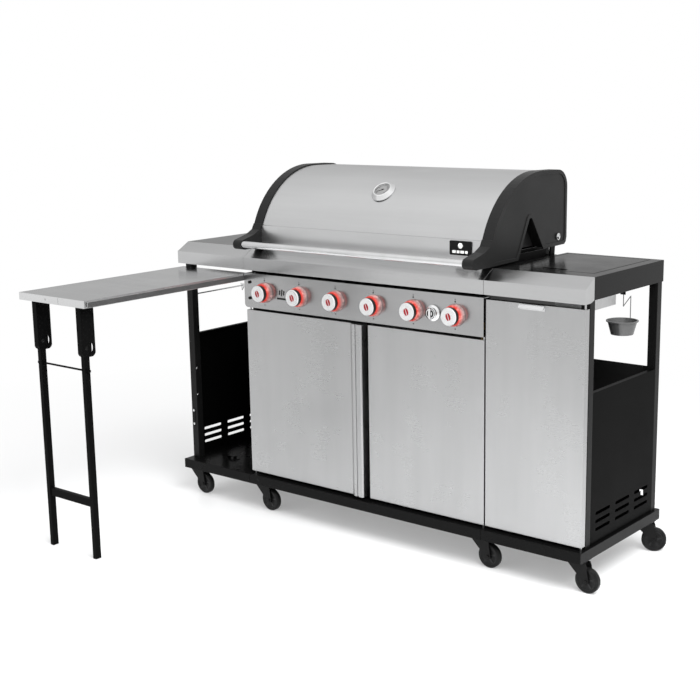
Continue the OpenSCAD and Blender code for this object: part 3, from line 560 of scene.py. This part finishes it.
# depths on the part count from its front; the frame's origin is this far behind that
ORIGIN_DEPTH = 0.49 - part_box("base_frames")[1].y
LID_ARC = Vector((0, 0.33 - ORIGIN_DEPTH, 0.872))
DIAL_RADIUS = 0.2952
DIAL_TILT = math.radians(129)
DIAL_TICKS = 16
NEEDLE_TURN = math.radians(120)


def dial_place():
    """Where the floor of the thermometer's recess sits, and which way it faces."""
    low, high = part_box("thermometer")
    axis = Vector((0, math.cos(DIAL_TILT), math.sin(DIAL_TILT)))
    return LID_ARC + RIGHT * (low.x + high.x) / 2 + axis * DIAL_RADIUS, axis


def add_thermometer():
    """Dial face with ticks, a needle and a hub, sunk in the thermometer's bezel."""
    at, axis = dial_place()
    face = bmesh.new()
    place = facing(at, axis)
    add_lathe(face, scaled([(0, 0.8), (23.8, 0.8), (24.6, 0.2), (24.6, 0), (0, 0)]), place, 64)
    piece(face, "dial_face", "dial", "lid")
    ticks = bmesh.new()
    for k in range(DIAL_TICKS + 1):
        turn = Matrix.Rotation(math.radians(-130 + k * 260 / DIAL_TICKS), 4, "Z")
        width, length, out = (1.8, 6, 19) if k % 4 == 0 else (1.0, 4, 20)
        centre = turn @ Matrix.Translation((0, out * MM, 0.8 * MM))
        add_plate(ticks, rounded(width * MM, length * MM, 0.45 * MM, 2), 0.3 * MM, place @ centre)
    piece(ticks, "dial_ticks", "black_plastic", "lid")
    needle = bmesh.new()
    outline = scaled([(-1.6, -6), (1.6, -6), (0.9, 6), (0.3, 17), (-0.3, 17), (-0.9, 6)])
    turn = Matrix.Rotation(NEEDLE_TURN, 4, "Z") @ Matrix.Translation((0, 0, 1.2 * MM))
    add_plate(needle, outline, 0.5 * MM, place @ turn)
    hub = [(0, 2.8), (1.8, 2.6), (2.6, 2.0), (2.6, 0.8), (0, 0.8)]
    add_lathe(needle, scaled(hub), place, 24)
    piece(needle, "dial_needle", "black_plastic", "lid")


BADGE_ALONG, BADGE_Z = 0.7955, 0.951
BADGE_BLOCKS = [12, 10, 13, 9]


def add_badge():
    """Plain nameplate with a disc over four blocks, on the lid's lower band."""
    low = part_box("lid_shell")[0]
    place = facing(Vector((low.x + BADGE_ALONG, low.y - 0.5 * MM, BADGE_Z)), -BACK)
    plate = bmesh.new()
    add_plate(plate, rounded(77 * MM, 42 * MM, 4 * MM), 1.6 * MM, place, 0.5 * MM)
    piece(plate, "badge_plate", "black_plastic", "lid")
    sign = bmesh.new()
    lift = place @ Matrix.Translation((0, 0, 1.6 * MM))
    disc = [(0, 0.5), (7.5, 0.5), (8.2, 0.1), (8.2, 0), (0, 0)]
    add_lathe(sign, scaled(disc), lift @ Matrix.Translation((0, 7 * MM, 0)), 32)
    for k, width in enumerate(BADGE_BLOCKS):
        add_plate(sign, rounded(width * MM, 8 * MM, MM), 0.4 * MM,
                  lift @ Matrix.Translation(((-22 + 14.5 * k) * MM, -11 * MM, 0)))
    piece(sign, "badge_sign", "white", "lid")


POST_SCREWS_Z = (0.453, 0.357)
STRIP_SCREWS_Z = (0.297, 0.248)
STRIP_THICK = 1.6 * MM


def add_post_screws():
    """Screws in the side of the left front post, and a strip with two rivets on its face."""
    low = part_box("frame_members")[0]
    front = 0.044 - ORIGIN_DEPTH
    side_x = low.x + 0.028
    screws = bmesh.new()
    for z in POST_SCREWS_Z:
        add_screw(screws, Vector((side_x, front + 0.006, z)), RIGHT, 0.8)
    strip_x = low.x + 0.0105
    for z in STRIP_SCREWS_Z:
        add_screw(screws, Vector((strip_x, front - STRIP_THICK, z)), -BACK, 0.8)
    piece(screws, "post_screws", "polished", "chassis")
    strip = bmesh.new()
    middle = Vector((strip_x, front, sum(STRIP_SCREWS_Z) / 2))
    add_plate(strip, rounded(11 * MM, 66 * MM, 5 * MM), STRIP_THICK, facing(middle, -BACK), 0.4 * MM)
    piece(strip, "post_strip", "black_plastic", "chassis")


HUB_RIM = [(25.5, 7.6), (25.6, 9.4), (27.2, 9.4), (27.4, 7.6)]
SPOKES = 5


def add_wheel_hubs():
    """Five-spoked hub faces with a rim, and an axle nut, on both sides of every wheel."""
    for i in CASTERS:
        joint = JOINTS[f"wheel_{i}_roll"]
        axle = Vector(joint["axis"]).normalized()
        centre = Vector(joint["pos_m"])
        hub = bmesh.new()
        nuts = bmesh.new()
        for side in (1, -1):
            place = facing(centre, axle * side)
            add_lathe(hub, scaled(HUB_RIM), place, 48)
            for k in range(SPOKES):
                spoke = Matrix.Rotation(2 * math.pi * k / SPOKES, 4, "Z")
                spoke = spoke @ Matrix.Translation((0, 17 * MM, 7.6 * MM))
                add_plate(hub, rounded(5 * MM, 17 * MM, 2 * MM, 3), 1.6 * MM, place @ spoke, 0.5 * MM)
            nut = [(6 * MM * math.cos(a), 6 * MM * math.sin(a))
                   for a in (math.pi / 3 * k for k in range(6))]
            add_plate(nuts, nut, 2.6 * MM, place @ Matrix.Translation((0, 0, 15.5 * MM)), 0.7 * MM)
        piece(hub, f"wheel_hub_{i}", "hub", f"wheel_{i}")
        piece(nuts, f"axle_nuts_{i}", "fork", f"fork_{i}")


def add_lid_bolts():
    """Pivot bolt heads outside the end caps."""
    pivot = Vector(JOINTS["lid_open"]["pos_m"])
    low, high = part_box("lid_caps")
    bolts = bmesh.new()
    for x, axis in ((low.x, -RIGHT), (high.x, RIGHT)):
        add_screw(bolts, Vector((x, pivot.y, pivot.z)) + axis * 0.0012, axis, 2.0)
    piece(bolts, "lid_pivot_bolts", "polished", "chassis")


BRACKET_WIDTH = 20 * MM


def add_bracket_bolts():
    """Pivot bolt heads on both faces of the table's leg brackets."""
    pivot = Vector(JOINTS["leg_fold"]["pos_m"])
    low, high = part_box("leg_brackets")
    heads = bmesh.new()
    for x, out in ((low.x, -RIGHT), (low.x + BRACKET_WIDTH, RIGHT),
                   (high.x - BRACKET_WIDTH, -RIGHT), (high.x, RIGHT)):
        add_screw(heads, Vector((x, pivot.y, pivot.z)), out, 1.2)
    piece(heads, "bracket_bolts", "fork", "table")


def add_table_trim():
    """Dark strip down the table's right edge, a plug at the front corner and a latch dot."""
    low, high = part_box("table_top")
    middle = (low.z + high.z) / 2
    trim = bmesh.new()
    along = Matrix((BACK, UP, RIGHT)).transposed().to_4x4()
    edge = Vector((high.x - 0.0002, (low.y + high.y) / 2, middle - 0.0025))
    add_plate(trim, rounded(high.y - low.y - 0.028, 15 * MM, 2 * MM), 0.7 * MM,
              Matrix.Translation(edge) @ along, 0.2 * MM)
    corner = Vector((high.x - 0.0002, low.y + 0.008, middle))
    add_plate(trim, rounded(5 * MM, 14 * MM, 2 * MM), 0.6 * MM,
              Matrix.Translation(corner) @ along, 0.1 * MM)
    dot = Vector((low.x + 0.128, low.y + 0.0003, middle))
    add_lathe(trim, scaled([(0, 0.3), (3.5, 0.3), (4, 0), (0, 0)]), facing(dot, -BACK), 24)
    piece(trim, "table_trim", "edge", "table")


# ---- floor and light -----------------------------------------------------

WORLD_LIGHT = 1.0
FLOOR_RADIUS = 40.0
FADE_FROM, FADE_TO = 1.2, 3.0


def add_floor():
    """Pale floor that turns into the backdrop's white far away."""
    mesh = bmesh.new()
    bmesh.ops.create_circle(mesh, cap_ends=True, radius=FLOOR_RADIUS, segments=96)
    data = bpy.data.meshes.new("floor")
    mesh.to_mesh(data)
    mesh.free()
    floor = bpy.data.objects.new("floor", data)
    bpy.context.scene.collection.objects.link(floor)
    look = Look("floor", Specular_IOR_Level=0.35, Roughness=0.25)
    mottle = look.noise(look.place, 3.0, 3.0)
    look.set(Base_Color=look.mix(mottle, grey(0.86), grey(0.88)))
    distance = look.node("VectorMath", {0: look.place}, output=1, operation="LENGTH")
    far = look.ramp(distance, FADE_FROM, FADE_TO, 0.3, 1.0)
    glow = look.node("Emission", {"Color": (1, 1, 1, 1), "Strength": WORLD_LIGHT})
    blend = look.node("MixShader", {0: far, 1: look.shader.outputs[0], 2: glow})
    output = look.tree.nodes["Material Output"]
    look.tree.links.new(blend, output.inputs["Surface"])
    data.materials.append(look.material)


def add_area(name, at, target, size, power):
    """Soft rectangular light aimed at a point, which no surface mirrors."""
    data = bpy.data.lights.new(name, "AREA")
    data.shape = "RECTANGLE"
    data.size, data.size_y = size
    data.energy = power
    lamp = bpy.data.objects.new(name, data)
    lamp.matrix_world = facing(Vector(at), Vector(at) - Vector(target))
    lamp.visible_glossy = False
    bpy.context.scene.collection.objects.link(lamp)


def add_world():
    """White backdrop that lights like a studio: bright above, dimmer low, behind and far left."""
    world = bpy.data.worlds.new("studio")
    world.use_nodes = True
    nodes, links = world.node_tree.nodes, world.node_tree.links

    def mapped(value, low, high, out_low, out_high):
        made = nodes.new("ShaderNodeMapRange")
        links.new(value, made.inputs["Value"])
        for key, number in (("From Min", low), ("From Max", high),
                            ("To Min", out_low), ("To Max", out_high)):
            made.inputs[key].default_value = number
        return made.outputs[0]

    direction = nodes.new("ShaderNodeSeparateXYZ")
    links.new(nodes.new("ShaderNodeTexCoord").outputs["Generated"], direction.inputs[0])
    above = mapped(direction.outputs["Z"], -0.1, 0.6, 0.8, 1.08)
    behind = mapped(direction.outputs["Y"], -0.1, 0.9, 1.0, 0.62)
    left = mapped(direction.outputs["X"], -0.85, -0.55, 0.66, 1.0)
    level = above
    for factor in (behind, left):
        product = nodes.new("ShaderNodeMath")
        product.operation = "MULTIPLY"
        links.new(level, product.inputs[0])
        links.new(factor, product.inputs[1])
        level = product.outputs[0]
    seen = nodes.new("ShaderNodeMix")
    links.new(nodes.new("ShaderNodeLightPath").outputs["Is Camera Ray"], seen.inputs["Factor"])
    links.new(level, seen.inputs["A"])
    seen.inputs["B"].default_value = WORLD_LIGHT
    background = nodes["Background"]
    background.inputs["Color"].default_value = (1, 1, 1, 1)
    links.new(seen.outputs[0], background.inputs["Strength"])
    bpy.context.scene.world = world


def add_lights():
    """A strong soft light high on the right, and a weak one at the front left."""
    size = (2.6, 2.0)
    add_area("top_softbox", (2.3, -0.9, 3.1), (0, 0, 0.2), size, 210)
    add_area("front_softbox", (-2.2, -4.2, 2.8), (0, 0, 0.6), size, 35)


add_camera()
dress_nodes()
add_knob_marks()
add_side_knob()
add_panel_prints()
add_thermometer()
add_badge()
add_post_screws()
add_wheel_hubs()
add_lid_bolts()
add_bracket_bolts()
add_table_trim()
add_floor()
add_world()
add_lights()
bpy.context.scene.view_settings.view_transform = "Standard"
